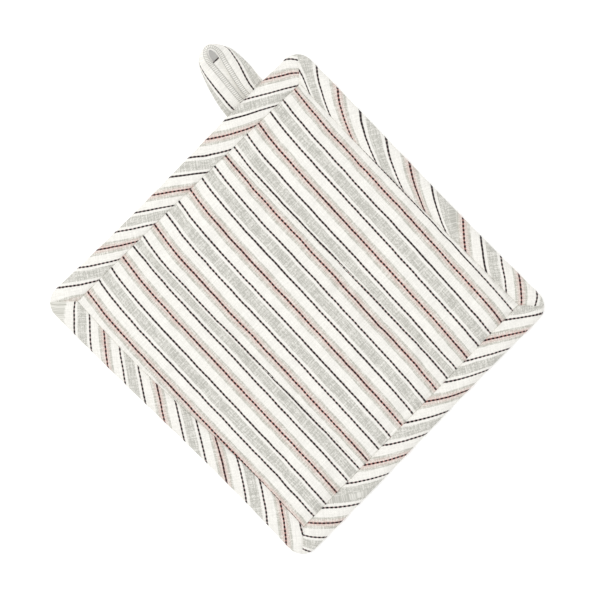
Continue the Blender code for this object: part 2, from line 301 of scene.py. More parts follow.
def striped_cotton(name):
    """The striped cloth as one Principled material that reads the UV map "cloth"."""
    made, node = new_material(name)
    uv_map = node("UVMap", uv_map="cloth")
    in_mm = node("VectorMath", {0: uv_map, "Scale": 1 / MM}, operation="SCALE")
    spot = node("SeparateXYZ", [in_mm])
    along = spot.outputs["Y"]

    # Threads wander a little, so no line is drawn with a ruler.
    drift = node("TexNoise", {"Vector": in_mm, "Scale": 0.11, "Detail": 2.0})
    wander = node("Math", [drift, WANDER, -WANDER / 2], operation="MULTIPLY_ADD")
    across = node("Math", [spot.outputs["X"], wander], operation="ADD")
    from_red = node("Math", [across, REPEAT / 2], operation="PINGPONG")
    beside_dark = node("Math", [from_red, DARK_LINE], operation="SUBTRACT")
    beside_dark = node("Math", [beside_dark], operation="ABSOLUTE")

    # Dashes: the thread dips under the weft once a pitch, deeper on some lines than on others.
    in_pitch = node("Math", [along, DASH_PITCH / 2], operation="PINGPONG")
    ends = {"Value": in_pitch, "From Min": DASH_ENDS[1], "From Max": DASH_ENDS[0]}
    dip = node("MapRange", ends, interpolation_type="SMOOTHSTEP")
    by_line = node("Mapping", {"Vector": in_mm, "Scale": (0.11, 0.014, 1.0)})
    depth = node("TexNoise", {"Vector": by_line, "Scale": 1.0, "Detail": 1.0})
    depth = node("MapRange", {"Value": depth, "From Min": 0.36, "From Max": 0.58, "To Min": 0.3})
    dip = node("Math", [dip, depth], operation="MULTIPLY")

    # The thread is thinner where it dips. Where sewing gathers the cloth, it keeps its width and
    # only the thin threads crowd together. A piece without the attribute reads 0.
    gathered = node("Attribute", attribute_name="gathered").outputs["Fac"]
    crowding = node("Math", [gathered, 1.0], operation="ADD")
    to_line = []
    for distance in (from_red, beside_dark):
        distance = node("Math", [dip, DASH_TAPER, distance], operation="MULTIPLY_ADD")
        to_line.append(node("Math", [distance, crowding], operation="DIVIDE"))

    # Where each colour lies: 1 inside its band, 0 outside, with a short smooth edge.
    bands = {}
    for band, distance, middle, blur in (
        ("beige", from_red, BEIGE_REACH, -BAND_BLUR),
        ("grey", from_red, GREY_START, BAND_BLUR),
        ("red", to_line[0], LINE_HALF, -LINE_BLUR),
        ("black", to_line[1], LINE_HALF, -LINE_BLUR),
    ):
        ends = {"Value": distance, "From Min": middle - blur, "From Max": middle + blur}
        bands[band] = node("MapRange", ends, interpolation_type="SMOOTHSTEP")

    # Yarn: uneven warp threads, uneven weft threads and flecks, as three noises added up.
    yarn = 0.0
    for size in YARN_NOISES:
        stretched = node("Mapping", {"Vector": in_mm, "Scale": size})
        uneven = node("TexNoise", {"Vector": stretched, "Scale": 1.0, "Detail": 2.0})
        yarn = node("Math", [uneven, 1 / 3, yarn], operation="MULTIPLY_ADD")
    yarn = node("MapRange", {"Value": yarn, "From Min": 0.40, "From Max": 0.60})

    # Plain weave: one thread up and one down each way, as a product of two sines.
    weave = 1.0
    for place in (across, along):
        turn = node("Math", [place, math.pi / THREAD_SPACING], operation="MULTIPLY")
        wave = node("Math", [turn], operation="SINE")
        weave = node("Math", [wave, weave], operation="MULTIPLY")

    # White weft shows through the dyed bands where it crosses over.
    cover = node("Math", [yarn, -YARN_SHOWS, COVER], operation="MULTIPLY_ADD")
    cover = node("Math", [weave, -WEAVE_SHOWS, cover], operation="MULTIPLY_ADD")
    tint = node("MapRange", {"Value": from_red, "From Min": TINT_ENDS[1], "From Max": TINT_ENDS[0]})
    beige = node("Mix", {0: tint, 6: BEIGE_THREAD, 7: TINTED_THREAD}, data_type="RGBA")
    colour = WHITE_THREAD
    for band, thread in (("beige", beige), ("grey", GREY_THREAD)):
        share = node("Math", [bands[band], cover], operation="MULTIPLY", use_clamp=True)
        colour = node("Mix", {0: share, 6: colour, 7: thread}, data_type="RGBA")
    for band, dash, gap in (("red", RED_DASH, RED_GAP), ("black", BLACK_DASH, BLACK_GAP)):
        line = node("Mix", {0: dip, 6: dash, 7: gap}, data_type="RGBA")
        colour = node("Mix", {0: bands[band], 6: colour, 7: line}, data_type="RGBA")
    shade = node("Math", [yarn, *YARN_SHADE], operation="MULTIPLY_ADD")
    shade = node("Math", [weave, WEAVE_SHADE, shade], operation="MULTIPLY_ADD")
    colour = node("Mix", {0: 1.0, 6: colour, 7: shade}, data_type="RGBA", blend_type="MULTIPLY")

    lines = node("Math", [bands["red"], bands["black"]], operation="ADD")
    proud = node("Math", [1.0, dip], operation="SUBTRACT")
    height = node("Math", [lines, proud], operation="MULTIPLY")
    height = node("Math", [weave, 0.4, height], operation="MULTIPLY_ADD")
    height = node("Math", [yarn, 0.6, height], operation="MULTIPLY_ADD")
    bump = node("Bump", {"Height": height, "Strength": 0.4, "Distance": 0.15 * MM})
    matt = {"Roughness": 0.93, "Specular IOR Level": 0.25}
    fuzz = {"Sheen Weight": 0.15, "Sheen Roughness": 0.6}
    shader = node("BsdfPrincipled", {"Base Color": colour, "Normal": bump, **matt, **fuzz})
    node("OutputMaterial", {"Surface": shader})
    return made


def sewing_thread(name, hex_colour):
    """Spun cotton thread: matt, with a fine twist that slanting bands give, 1.1 mm to a turn, and
    painted shade in the grooves of the twist.
    """
    made, node = new_material(name)
    place = node("TexCoord").outputs["Object"]
    bands = {"Vector": place, "Scale": 900.0, "Distortion": 1.0}
    twist = node("TexWave", bands, wave_type="BANDS", bands_direction="DIAGONAL")
    height = twist.outputs["Fac"]
    bump = node("Bump", {"Height": height, "Strength": 0.4, "Distance": 0.05 * MM})
    # Painted shade: the colour falls to 0.8 of the thread's own where the twist's bands are low, in
    # its grooves.
    ends = {6: linear(hex_colour, 0.8), 7: linear(hex_colour)}
    colour = node("Mix", {0: height, **ends}, data_type="RGBA")
    surface = {"Base Color": colour, "Normal": bump, "Roughness": 0.8, "Sheen Weight": 0.1}
    shader = node("BsdfPrincipled", surface)
    node("OutputMaterial", {"Surface": shader})
    return made


PANEL_COTTON = striped_cotton("Striped cotton, plain weave, quilted")
BINDING_COTTON = striped_cotton("Striped cotton, cut on the bias")
TAPE_COTTON = striped_cotton("Striped cotton, folded as tape")
WHITE_SEWING = sewing_thread("Cotton sewing thread, white", "E4E2DA")
GREY_SEWING = sewing_thread("Cotton sewing thread, grey", "C8C7C0")

# %% [markdown]
# ## The quilted pad
#
# The pad is two cloths with wadding between, sewn through along two lines and round the edge.
# It starts as a closed grid of points: a top sheet that rises from the seam, a back that lies on
# the table, and a flange that goes into the binding. Then a short cloth simulation fills it: the
# seams and the quilting lines are pinned, air pressure stands for the wadding, and the cloth has a
# little spare length, so it comes out soft and slightly puckered where it is sewn.

# %% The pad's grid
QUILT_LINES = (0.269, 0.686)
COLUMN_PARTS = (21, 35, 24)
ROW_PARTS = 84
PAD_SIZE = (171.0, 175.0)
BESIDE_SEAM = np.array([0.0, 0.6, 1.4, 2.5, 3.9])
SHOULDER = 2.7
SHOULDER_REACH = 3.0
CROWN = 1.2
DIP = 1.6
DIP_REACH = 5.5
BACK_TUCK = 1.5
BACK_TUCK_REACH = 4.5
BACK_DIP = 0.7


def spread_shares(stops, parts, size):
    """Shares with even steps between stops, and finer ones beside both ends."""
    near = BESIDE_SEAM / size
    stops = (near[-1], *stops, 1.0 - near[-1])
    steps = [np.linspace(a, b, n, endpoint=False) for a, b, n in zip(stops, stops[1:], parts)]
    return np.concatenate([near[:-1], *steps, 1.0 - near[::-1]])


def pad_plan(columns, rows):
    """The four seam sides blended across the patch, less the blend of its corners."""
    low, top = seam_side("low", 1.0 - columns), seam_side("top", columns)
    left, right = seam_side("left", rows), seam_side("right", 1.0 - rows)
    u, v = columns[None, :, None], rows[:, None, None]
    corner = {name: np.array(place) for name, place in SEAM_CORNERS.items()}
    sides = (1 - v) * low[None] + v * top[None] + (1 - u) * left[:, None] + u * right[:, None]
    ends = (1 - v) * ((1 - u) * corner["low_left"] + u * corner["low_right"])
    return sides - ends - v * ((1 - u) * corner["top_left"] + u * corner["top_right"])


def pad_heights(columns, rows):
    """Top: seam height plus a shoulder, one minus a falling exponential, plus a low crown, less a
    cosine-squared dip at each quilting line. Back: flat, tucked up to the seam at its edges."""
    across, along = (
        np.minimum(shares, 1 - shares) * size for shares, size in zip((columns, rows), PAD_SIZE)
    )
    rise = np.outer(*(1.0 - np.exp(-distance / SHOULDER_REACH) for distance in (along, across)))
    crown = np.outer(1.0 - (2 * rows - 1) ** 2, 1.0 - (2 * columns - 1) ** 2)
    beside = np.min([np.abs(columns - line) * PAD_SIZE[0] for line in QUILT_LINES], axis=0)
    dip = np.cos(math.pi / 2 * np.clip(beside / DIP_REACH, 0.0, 1.0)) ** 2 * rise
    top = SEAM_HEIGHT + SHOULDER * rise + CROWN * crown - DIP * dip
    level = np.outer(smooth_step(along / BACK_TUCK_REACH), smooth_step(across / BACK_TUCK_REACH))
    return top, BACK_TUCK * (1.0 - level) + BACK_DIP * dip * level


pad_columns = spread_shares(QUILT_LINES, COLUMN_PARTS, PAD_SIZE[0])
pad_rows = spread_shares((), (ROW_PARTS,), PAD_SIZE[1])
plan = pad_plan(pad_columns, pad_rows)
top_z, back_z = pad_heights(pad_columns, pad_rows)
raised = lift(plan)
top_points = np.dstack([plan, top_z + raised]).reshape(-1, 3)
back_points = np.dstack([plan, back_z + raised]).reshape(-1, 3)
grid_index = np.arange(len(top_points)).reshape(len(pad_rows), len(pad_columns))

# The flange: rings of points under the binding, from the top sheet round to the back.
FLANGE = ((0.5, 3.5), (4.0, 3.3), (8.0, 2.7), (4.0, 2.0))
around = {
    "top": pad_columns,
    "right": 1.0 - pad_rows[::-1],
    "low": 1.0 - pad_columns[::-1],
    "left": pad_rows,
}
seam_ring, edge_ring = (
    np.concatenate([side(name, shares)[:-1] for name, shares in around.items()])
    for side in (seam_side, edge_side)
)
reach, height = np.array(FLANGE).T
flat = seam_ring[:, None] + unit(edge_ring - seam_ring)[:, None] * reach[:, None]
flange_points = np.dstack([flat, height + lift(flat)])

# %% Cloth position of the panel
# Millimetres of cloth for each power of x and y, both counted in 90 mm.
PANEL_CLOTH = (
    ((0, 0), 84.09), ((1, 0), 88.68), ((0, 1), -3.47), ((2, 0), -0.58), ((1, 1), -0.68),
    ((0, 2), 0.59), ((3, 0), 0.55), ((1, 2), 0.63), ((0, 3), 0.85), ((0, 4), -1.48),
    ((0, 5), -2.60),
)
PANEL_UNIT = 90.0
# x of each quilting line half way up, its lean, and the cloth it takes up.
QUILT_TAKE_UP = ((-41.3, -0.016, 2.5), (29.4, -0.009, 2.8))
TAKE_UP_WIDTH = 6.5
SEAM_TAKE_UP = 2.1
SEAM_TAKE_UP_REACH = 2.2
LAST_WHITE = 6 * REPEAT + 10.75
right_seam = seam_side("right", np.linspace(1.0, 0.0, 60))


def panel_cloth(x, y):
    """Cloth positions of points of the panel, and how much the cloth is gathered there.

    A low polynomial in x and y leans the stripes and bends them towards the top and low seams.
    Each quilting line takes up cloth in an S-curve, whose slope is the gathering. Beside the right
    seam, where the cloth turns steeply down, more fades in, and the last gap is white.
    """
    across, up = x / PANEL_UNIT, y / PANEL_UNIT
    straight = sum(size * across**a * up**b for (a, b), size in PANEL_CLOTH)
    gathered = 0.0
    for line, lean, taken in QUILT_TAKE_UP:
        t = np.clip((x - line - lean * y) / TAKE_UP_WIDTH + 0.5, 0.0, 1.0)
        straight = straight + taken * smooth_step(t)
        gathered = gathered + 6.0 * t * (1.0 - t) * taken / TAKE_UP_WIDTH
    from_seam = np.maximum(np.interp(y, right_seam[:, 1], right_seam[:, 0]) - x, 0.0)
    straight = straight + SEAM_TAKE_UP * np.exp(-from_seam / SEAM_TAKE_UP_REACH)
    return np.stack([np.minimum(straight, LAST_WHITE), y], axis=-1), gathered


# %% Build the pad
half = len(top_points)
top_faces = grid_quads(len(pad_rows), len(pad_columns))
back_faces = top_faces[:, ::-1] + half
stations = len(seam_ring)
# The grid's border clockwise from the top left, as the sides run, without repeats.
border = (grid_index[-1], grid_index[::-1, -1], grid_index[0, ::-1], grid_index[:, 0])
border = np.concatenate([side[:-1] for side in border])
strip_index = np.arange(stations * len(FLANGE)).reshape(stations, -1) + 2 * half
strip_index = np.column_stack([border, strip_index, border + half])
flange_quads = grid_quads(*strip_index.shape, closed=True)[:, [0, 3, 2, 1]]
flange_faces = strip_index.ravel()[flange_quads]
pad_points = np.concatenate([top_points, back_points, flange_points.reshape(-1, 3)])
pad_faces = np.concatenate([top_faces, back_faces, flange_faces])
pad_cloth, pad_gathered = panel_cloth(*pad_points.T[:2])
pad = make_piece("quilted_panel", pad_points, pad_faces, PANEL_COTTON, pad_cloth[pad_faces])
gathered = pad.data.attributes.new("gathered", "FLOAT", "POINT")
gathered.data.foreach_set("value", pad_gathered)


WADDING = {
    "quality": 4,
    "mass": 0.05,
    "air_damping": 4.0,
    "tension_stiffness": 20.0,
    "compression_stiffness": 20.0,
    "shear_stiffness": 6.0,
    "bending_stiffness": 0.4,
    "vertex_group_mass": "sewn",
    "use_pressure": True,
    "uniform_pressure_force": 1.2,
    "shrink_min": -0.012,
}
FILL_FRAMES = 20
FILL_MOST = 2.2


def fill_with_wadding(piece, sewn):
    """Cloth simulation: pressure inside, sewn points stay, and no point moves over FILL_MOST mm."""
    rest = corners_of(piece.data)
    group = piece.vertex_groups.new(name="sewn")
    group.add([int(i) for i in sewn], 1.0, "REPLACE")
    cloth = piece.modifiers.new("wadding", "CLOTH")
    for key, value in WADDING.items():
        setattr(cloth.settings, key, value)
    cloth.settings.effector_weights.gravity = 0.0
    cloth.point_cache.frame_start = 1
    cloth.point_cache.frame_end = FILL_FRAMES
    for number in range(1, FILL_FRAMES + 1):
        bpy.context.scene.frame_set(number)
    move = corners_of(finished(piece).data) - rest
    far = np.linalg.norm(move, axis=1)
    print(f"wadding moved the cloth by {far.max() / MM:.2f} mm at most")
    settled = rest + move * np.minimum(1.0, FILL_MOST * MM / np.maximum(far, 1e-9))[:, None]
    settled[:, 2] = np.maximum(settled[:, 2], 0.0)
    piece.modifiers.remove(cloth)
    piece.data.vertices.foreach_set("co", settled.ravel())
    piece.data.update()
    bpy.context.scene.frame_set(1)


quilt_columns = [int(np.argmin(np.abs(pad_columns - line))) for line in QUILT_LINES]
sewn_on_top = np.concatenate([border, grid_index[:, quilt_columns].ravel()])
in_binding = np.arange(2 * half, len(pad_points))
sewn_points = np.concatenate([sewn_on_top, sewn_on_top + half, in_binding])
fill_with_wadding(pad, sewn_points)
finer = pad.modifiers.new("finer", "SUBSURF")
finer.levels = finer.render_levels = 1
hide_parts("quilted_pad")
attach(pad, "root")
report(pad)

# %% [markdown]
# ## The binding
#
# The binding is a strip cut across the stripes at a slant, so that it stretches round the corners.
# It is sewn along the seam, folded over the raw edge and stitched again behind, with the spare
# cloth of each corner folded into a mitre. It is modelled as one section carried round the edge:
# rolled down into the seam, puffy over the top, half an ellipse round the rim, flat underneath.
# Each point knows how far round the strip it is, so the slanted stripes curl over the rim by
# themselves. The strip has two joins, where the stripes of one length stop.

# %% The strip's section
ROLL_OUT = 4.2
PUFF = 0.6
TURN_DOWN = RIM - SEAM_HEIGHT
TURN_REACH = 1.1
FACE_AT = np.array([0.0, 0.018, 0.042, 0.083, 0.143, 0.226, 0.333, 0.464, 0.607, 0.75, 0.88])
ROLL_AT = np.linspace(math.pi / 2, -math.pi / 2, 15)
UNDER_AT = np.linspace(1.0, 0.0, 7)[1:]


def distance_along(line):
    """How far each point of a line is from its start, along it."""
    steps = np.linalg.norm(np.diff(line, axis=0), axis=1)
    return np.concatenate([[0.0], np.cumsum(steps)])


def by_column(face, roll, under):
    """One number for each column of the section, from those of its three parts."""
    return np.concatenate([face + 0 * FACE_AT, roll + 0 * ROLL_AT, under + 0 * UNDER_AT])


FLAT_SHARE = by_column(FACE_AT, 1.0, UNDER_AT)
ROLLED = by_column(0.0, np.cos(ROLL_AT), 0.0)
SECTION_HEIGHT = by_column(RIM, RIM / 2 * (1 + np.sin(ROLL_AT)), 0.0)
roll_arc = distance_along(np.column_stack([ROLL_OUT * np.cos(ROLL_AT), RIM / 2 * np.sin(ROLL_AT)]))
FLAT_TRAVEL = by_column(FACE_AT, 1.0, 2.0 - UNDER_AT)
ARC_TRAVEL = by_column(0.0, roll_arc, roll_arc[-1])
UPPER = by_column(1.0, np.maximum(np.sin(ROLL_AT), 0.0), 0.0)
BELOW = SECTION_HEIGHT < RIM / 2 - 1e-6
print(f"half way round the strip's roll is {roll_arc[-1] / 2:.1f} mm")


def binding_section(width, slant):
    """Reach from the seam, height, and the distance round the strip, with that to the rim.

    The section is flat, then half an ellipse, then flat. It turns down into the seam by a falling
    exponential and is puffed by a parabola. `slant` is the cosine of its angle to the side's
    square-out direction, 1 away from the corners.
    """
    flat = width - ROLL_OUT
    reach = flat * FLAT_SHARE + ROLL_OUT * ROLLED
    over = reach / width
    puff = PUFF * 4.0 * over * (1.0 - over) - TURN_DOWN * np.exp(-reach / TURN_REACH)
    travel = flat * slant * FLAT_TRAVEL + ARC_TRAVEL
    return reach, SECTION_HEIGHT + puff * UPPER, travel, flat * slant + roll_arc[-1] / 2


# %% How the slanted stripes run round the strip
# For each run on a side: the share of the side where it starts and ends, the stripe number at even
# steps along its outer edge, how many millimetres a stripe leans back from rim to seam at even
# steps, how much it is bowed, and two limits that keep the colour even up to a join or a fold.
STRIP_RUNS = {
    "top": [(0, 1, (-0.92, 0.58, 2.13, 3.53), (17, 19.5, 19, 17, 26.5, 27), 0.1, (-0.93, 9))],
    "right": [
        (0, 0.625, (3.345, 4.19, 4.91, 5.71), (24, 24.5, 25.5, 27.5, 27, 24), 0.4, (-9, 5.57)),
        (0.625, 1, (-0.13, 0.73, 1.6), (14, 14, 15.5, 18, 15.5, 13), 0.05, (-0.16, 9)),
    ],
    "low": [
        (0, 0.74, (1.52, 2.66, 3.65, 4.73), (14, 19, 23, 21.3, 21.5, 20.5), -0.2, (-9, 4.57)),
        (0.74, 1, (-6.45, -5.85, -5.08), (20.5, 18.5, 16.5, 14.5, 11, 8), 0, (-6.56, 9)),
    ],
    "left": [
        (0, 1, (-5.29, -3.85, -2.39, -0.58), (16, 20.3, 22.6, 18.5, 16.6, 13), 0.1, (-9, -1.12)),
    ],
}
USUAL_WIDTH = 12.6
BEFORE_JOIN = 60.0
AFTER_JOIN = 34.0


def through(knots, t):
    """The polynomial through even knots from t = 0 to t = 1, as a Lagrange sum."""
    at = np.linspace(0.0, 1.0, len(knots))
    total = 0.0
    for k, value in enumerate(knots):
        others = np.delete(at, k)
        weight = np.prod([(t - other) / (at[k] - other) for other in others], axis=0)
        total = total + value * weight
    return total


def how_far_over(reach_share):
    """0 at the seam, 1 at the rim and on to 2 behind, from the share of the width reached."""
    return np.where(BELOW, 2.0 - reach_share, reach_share)


def run_lean(run, share):
    """How far a stripe leans back at a share of the side: straight between the run's knots."""
    start, end, _, leans = run[:4]
    return np.interp((share - start) / (end - start), np.linspace(0, 1, len(leans)), leans)


def stripe_lag(run, share, over):
    """How far a stripe has leant back at `over`, 0 at the seam and 1 at the rim: a line, bowed."""
    return run_lean(run, share) * (1.0 - over - run[4] * over * (1.0 - over))


def strip_cloth(run, share, over, travel, to_rim, length):
    """Cloth position on one run: the stripe's number where it meets the rim, and the thread."""
    start, end, stripes, leans, _, limits = run
    lean, usual = run_lean(run, share), np.mean(leans)
    at_rim = share - stripe_lag(run, share, over) / length
    number = np.clip(through(stripes, (at_rim - start) / (end - start)), *limits)
    along = share * length * usual / np.hypot(usual, USUAL_WIDTH)
    along = along - travel * to_rim / np.hypot(lean, to_rim)
    return np.stack([number * REPEAT, along], axis=-1)


# %% Stations round the edge, closer together at the corners and slanted along a join
NEAR_CORNER = (0.0, 0.25, 0.55, 0.95, 1.45, 2.1, 2.9, 3.9, 5.1, 6.5, 8.1, 9.8, 11.6, 13.4)
MIDDLE_STATIONS = 92


def station_shares(name):
    """Shares of a side's seam for every point of the strip, and the station of its join.

    A join runs along the stripes. There one station is slanted as they are, and its neighbours
    less, in proportion to their distance.
    """
    length = side_axes(name, EDGE_CORNERS)[3]
    seam_length = side_axes(name, SEAM_CORNERS)[3]
    near = np.array(NEAR_CORNER) / seam_length
    middle = np.linspace(near[-1], 1.0 - near[-1], MIDDLE_STATIONS)
    shares = np.concatenate([near[:-1], middle, 1.0 - near[-2::-1]])
    grid = np.repeat(shares[:, None], len(FLAT_SHARE), axis=1)
    if len(STRIP_RUNS[name]) == 1:
        return grid, len(shares)
    run = STRIP_RUNS[name][1]
    at_rim = 0.5 + (run[0] - 0.5) * length / seam_length
    station = int(np.argmin(np.abs(shares - at_rim)))
    grid[station] = at_rim
    over = how_far_over(binding_section(USUAL_WIDTH, 1.0)[0] / USUAL_WIDTH)
    slant = stripe_lag(run, run[0], over) / seam_length
    reach = np.array([-BEFORE_JOIN, 0.0, AFTER_JOIN]) / seam_length
    return grid + np.outer(np.interp(grid[:, 0] - at_rim, reach, [0.0, 1.0, 0.0]), slant), station


# %% Soft shape of the strip: ripples, mitre folds and joins
RIPPLES = (
    # mm high, waves per mm in x and y, phase
    (0.10, 0.110, 0.065, 0.4),
    (0.08, -0.085, 0.120, 1.9),
    (0.06, 0.190, -0.150, 3.1),
    (0.05, 0.050, 0.230, 5.0),
)
MITRE_DEPTH = 0.6
MITRE_WIDTH = 0.55
FOLD_HEIGHT = 0.45
FOLD_START = 0.9
FOLD_REACH = 2.5
JOIN_DEPTH = 0.35
JOIN_WIDTH = 1.0909


def ripple(x, y):
    """A sum of four slanted sine waves, a tenth of a millimetre high."""
    return sum(a * np.sin(2 * math.pi * (x * u + y * v) + p) for a, u, v, p in RIPPLES)


def mitre_distance(plan_points, corner):
    """Distance from the fold line that runs from a seam corner to the outer corner."""
    start = np.array(SEAM_CORNERS[corner])
    line = unit(np.array(EDGE_CORNERS[corner]) - start)
    beside = plan_points - start
    return beside[..., 0] * line[1] - beside[..., 1] * line[0]


def build_side(name):
    """Points, cloth positions and station of the join for one side of the strip."""
    shares, join = station_shares(name)
    lines = (side(name, shares.ravel()) for side in (seam_side, edge_side))
    seam, edge = (line.reshape(*shares.shape, 2) for line in lines)
    start, along, outwards, length = side_axes(name, EDGE_CORNERS)
    out = edge - seam
    width = np.linalg.norm(out, axis=2)
    out = out / width[..., None]
    reach, height, travel, to_rim = binding_section(width, out @ outwards)
    plan_points = seam + out * reach[..., None]
    x, y = plan_points[..., 0], plan_points[..., 1]
    share = (plan_points - start) @ along / length

    soft = ripple(x, y)
    for corner, turning in zip(SIDES[name][:2], (True, False)):
        beside = np.abs(mitre_distance(plan_points, corner))
        soft = soft - MITRE_DEPTH * np.exp(-((beside / MITRE_WIDTH) ** 2))
        if turning:
            rise = smooth_step(beside / FOLD_START)
            soft = soft + FOLD_HEIGHT * np.exp(-beside / FOLD_REACH) * rise
    from_join = (shares - shares[min(join, len(shares) - 1)]) * length
    if join < len(shares):
        soft = soft - JOIN_DEPTH * np.exp(-((from_join / JOIN_WIDTH) ** 2))
    height = height + lift(plan_points) + soft * UPPER

    over = how_far_over(reach / width)
    spots = [strip_cloth(run, share, over, travel, to_rim, length) for run in STRIP_RUNS[name]]
    return np.dstack([x, y, height]), spots, join


def build_binding():
    """All four sides as one closed ring of sections, with the cloth position of every corner."""
    built = [build_side(name) for name in SIDES]
    total = sum(len(points) - 1 for points, _, _ in built)
    faces, cloth, offset = [], [], 0
    for points, spots, join in built:
        rows, columns = points.shape[:2]
        quads = grid_quads(rows, columns)[:, ::-1]
        picked = spots[0].reshape(-1, 2)[quads]
        past = quads.min(axis=1) // columns >= join
        picked[past] = spots[-1].reshape(-1, 2)[quads][past]
        cloth.append(picked.reshape(-1, 2))
        faces.append((offset + quads // columns) % total * columns + quads % columns)
        offset += rows - 1
    points = np.concatenate([points[:-1].reshape(-1, 3) for points, _, _ in built])
    return points, np.concatenate(faces), np.concatenate(cloth)


strip_points, strip_faces, strip_spots = build_binding()
binding = make_piece("bias_binding", strip_points, strip_faces, BINDING_COTTON, strip_spots)
cloth_thickness = binding.modifiers.new("cloth_thickness", "SOLIDIFY")
cloth_thickness.thickness = 0.9 * MM
cloth_thickness.offset = -1.0
cloth_thickness.use_even_offset = True
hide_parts("binding")
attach(binding, "root")
report(binding)

# %% [markdown]
# ## The hanging loop
#
# A length of the same cloth is folded lengthwise into a tape, doubled over and sewn side by side
# under the binding. Its inner edges stand up against each other like a tent. At the tip the tape
# turns on its edge and leaves a small eye for a hook. Between the legs shows a narrow wedge of the
# folded-in under layer, whose straight end is the lower side of the eye.
# The tape is a squarish section carried along a curve. The curve, the way the tape faces and its
# tilt are a short table, and a Catmull-Rom spline runs smoothly through its rows.

# %% The loop's table
# Inner edge x and y from the root, heading from inner to outer edge, tilt, arch, curl of the inner
# edge, and how far from the inner edge the near-black line runs, which is off the tape at the tip.
# Millimetres and degrees.
LOOP_SECTIONS = (
    (-0.5, -9.6, 180, 0, 0, 0, 8.2),
    (-0.5, -5, 180, 0, 0, 0, 8.2),
    (-0.5, -1.2, 180, 0, 0, 0, 8.2),
    (-0.45, 3, 180, 5, 0.5, 0, 8.2),
    (-0.2, 7, 180, 14, 1.1, 0, 8.2),
    (0.2, 11.5, 181, 21, 1.6, 0, 8.2),
    (0.75, 16.5, 182, 28, 2, 0, 8.3),
    (1.2, 21.5, 183, 37, 2.2, 0, 8.4),
    (1.55, 25.4, 184, 46, 2.2, 0, 8.7),
    (1.7, 27.1, 180, 52, 2, 10, 8.9),
    (2.0, 28.9, 170, 61, 1.6, 28, 9.7),
    (2.75, 30.8, 150, 72, 1, 50, 12.6),
    (4.15, 32.4, 105, 86, 0.3, 70, 14.5),
    (5.25, 32, 62, 85, 0.4, 66, 14.5),
    (5.8, 30.5, 28, 78, 0.8, 45, 12.4),
    (5.9, 28.8, 9, 70, 1.4, 25, 10.2),
    (5.75, 27, 1, 60, 1.9, 10, 8.9),
    (5.3, 25.2, -3, 50, 2.2, 0, 8.3),
    (4.25, 21.5, -3, 39, 2.2, 0, 8),
    (3.2, 16.5, -2, 27, 2, 0, 7.6),
    (2.2, 11.5, -1, 16, 1.6, 0, 7.1),
    (1.3, 7, 0, 7, 1, 0, 6.7),
    (0.8, 3, 0, 2, 0.4, 0, 6.4),
    (0.6, -1.2, 0, 0, 0, 0, 6.3),
    (0.6, -5, 0, 0, 0, 0, 6.3),
    (0.6, -9.6, 0, 0, 0, 0, 6.3),
)
STEPS_PER_ROW = 6
FROM_INNER = np.array(
    [0, 0.1, 0.25, 0.45, 1.0, 1.7, 2.4, 2.9, 3.2, 4, 5]
    + [6.2, 7.4, 8.6, 9.8, 11, 12, 12.7, 13.1, 13.3, 13.4]
)
CURL_REACH = 1.7


def spline_rows(table, steps):
    """Catmull-Rom through the rows of a table: each stretch is a cubic of four rows around it."""
    padded_table = np.concatenate([[2 * table[0] - table[1]], table, [2 * table[-1] - table[-2]]])
    count = len(table) - 1
    at = np.linspace(0.0, count, count * steps + 1)
    k = np.minimum(at.astype(int), count - 1)
    t = (at - k)[:, None]
    a, b, c, d = (padded_table[k + n] for n in range(4))
    return 0.5 * (
        2 * b + (c - a) * t + (2 * a - 5 * b + 4 * c - d) * t**2 + (3 * b - a - 3 * c + d) * t**3
    )


def loop_middle(rows):
    """The tape's middle surface, from the raised inner edge out and down to the lower one.

    The slope grows evenly across the tape about its tilt, by four arches over the width, less a
    falling exponential of the curl at the inner edge. Steps along the section add up the cosine of
    the slope outwards and its sine downwards.
    """
    x, y, heading, tilt, arch, curl = (column[:, None] for column in rows.T[:6])
    slope = np.radians(tilt) + 4.0 * arch / TAPE_WIDTH * (2.0 * FROM_INNER / TAPE_WIDTH - 1.0)
    slope = slope - np.radians(curl) * np.exp(-FROM_INNER / CURL_REACH)
    between_points = (slope[:, 1:] + slope[:, :-1]) / 2
    step = np.diff(FROM_INNER)
    start = np.zeros((len(rows), 1))
    out, down = (
        np.concatenate([start, np.cumsum(step * part(between_points), axis=1)], axis=1)
        for part in (np.cos, np.sin)
    )
    heading = np.radians(heading)
    across_x = LOOP_ROOT[0] + x + np.cos(heading) * out
    across_y = LOOP_ROOT[1] + y + np.sin(heading) * out
    return np.dstack([across_x, across_y, TAPE_THICKNESS / 2 + down[:, -1:] - down])


def make_band(name, front, behind, spots):
    """A closed band of cotton tape from the points of its front and back, sections x columns.

    Each section is one ring, out along the front and home along the back, with the same cloth
    position on both. It turns the other way from a thread's ring, so its faces are turned over.
    """
    rings = np.concatenate([front, behind[:, -2:0:-1]], axis=1)
    spots = np.concatenate([spots, spots[:, -2:0:-1]], axis=1).reshape(-1, 2)
    faces = [[face[0], *face[:0:-1]] for face in tube_faces(1, *rings.shape[:2])]
    cloth = spots[np.concatenate(faces)]
    return make_piece(name, rings.reshape(-1, 3), faces, TAPE_COTTON, cloth)


# %% Build the tape
STITCH_INSET = (0.45, 2.9)
EDGE_SHARPNESS = 24
DIMPLE = 0.2
DIMPLE_WIDTH = 0.5

loop_rows = spline_rows(np.array(LOOP_SECTIONS), STEPS_PER_ROW)
middle = loop_middle(loop_rows)
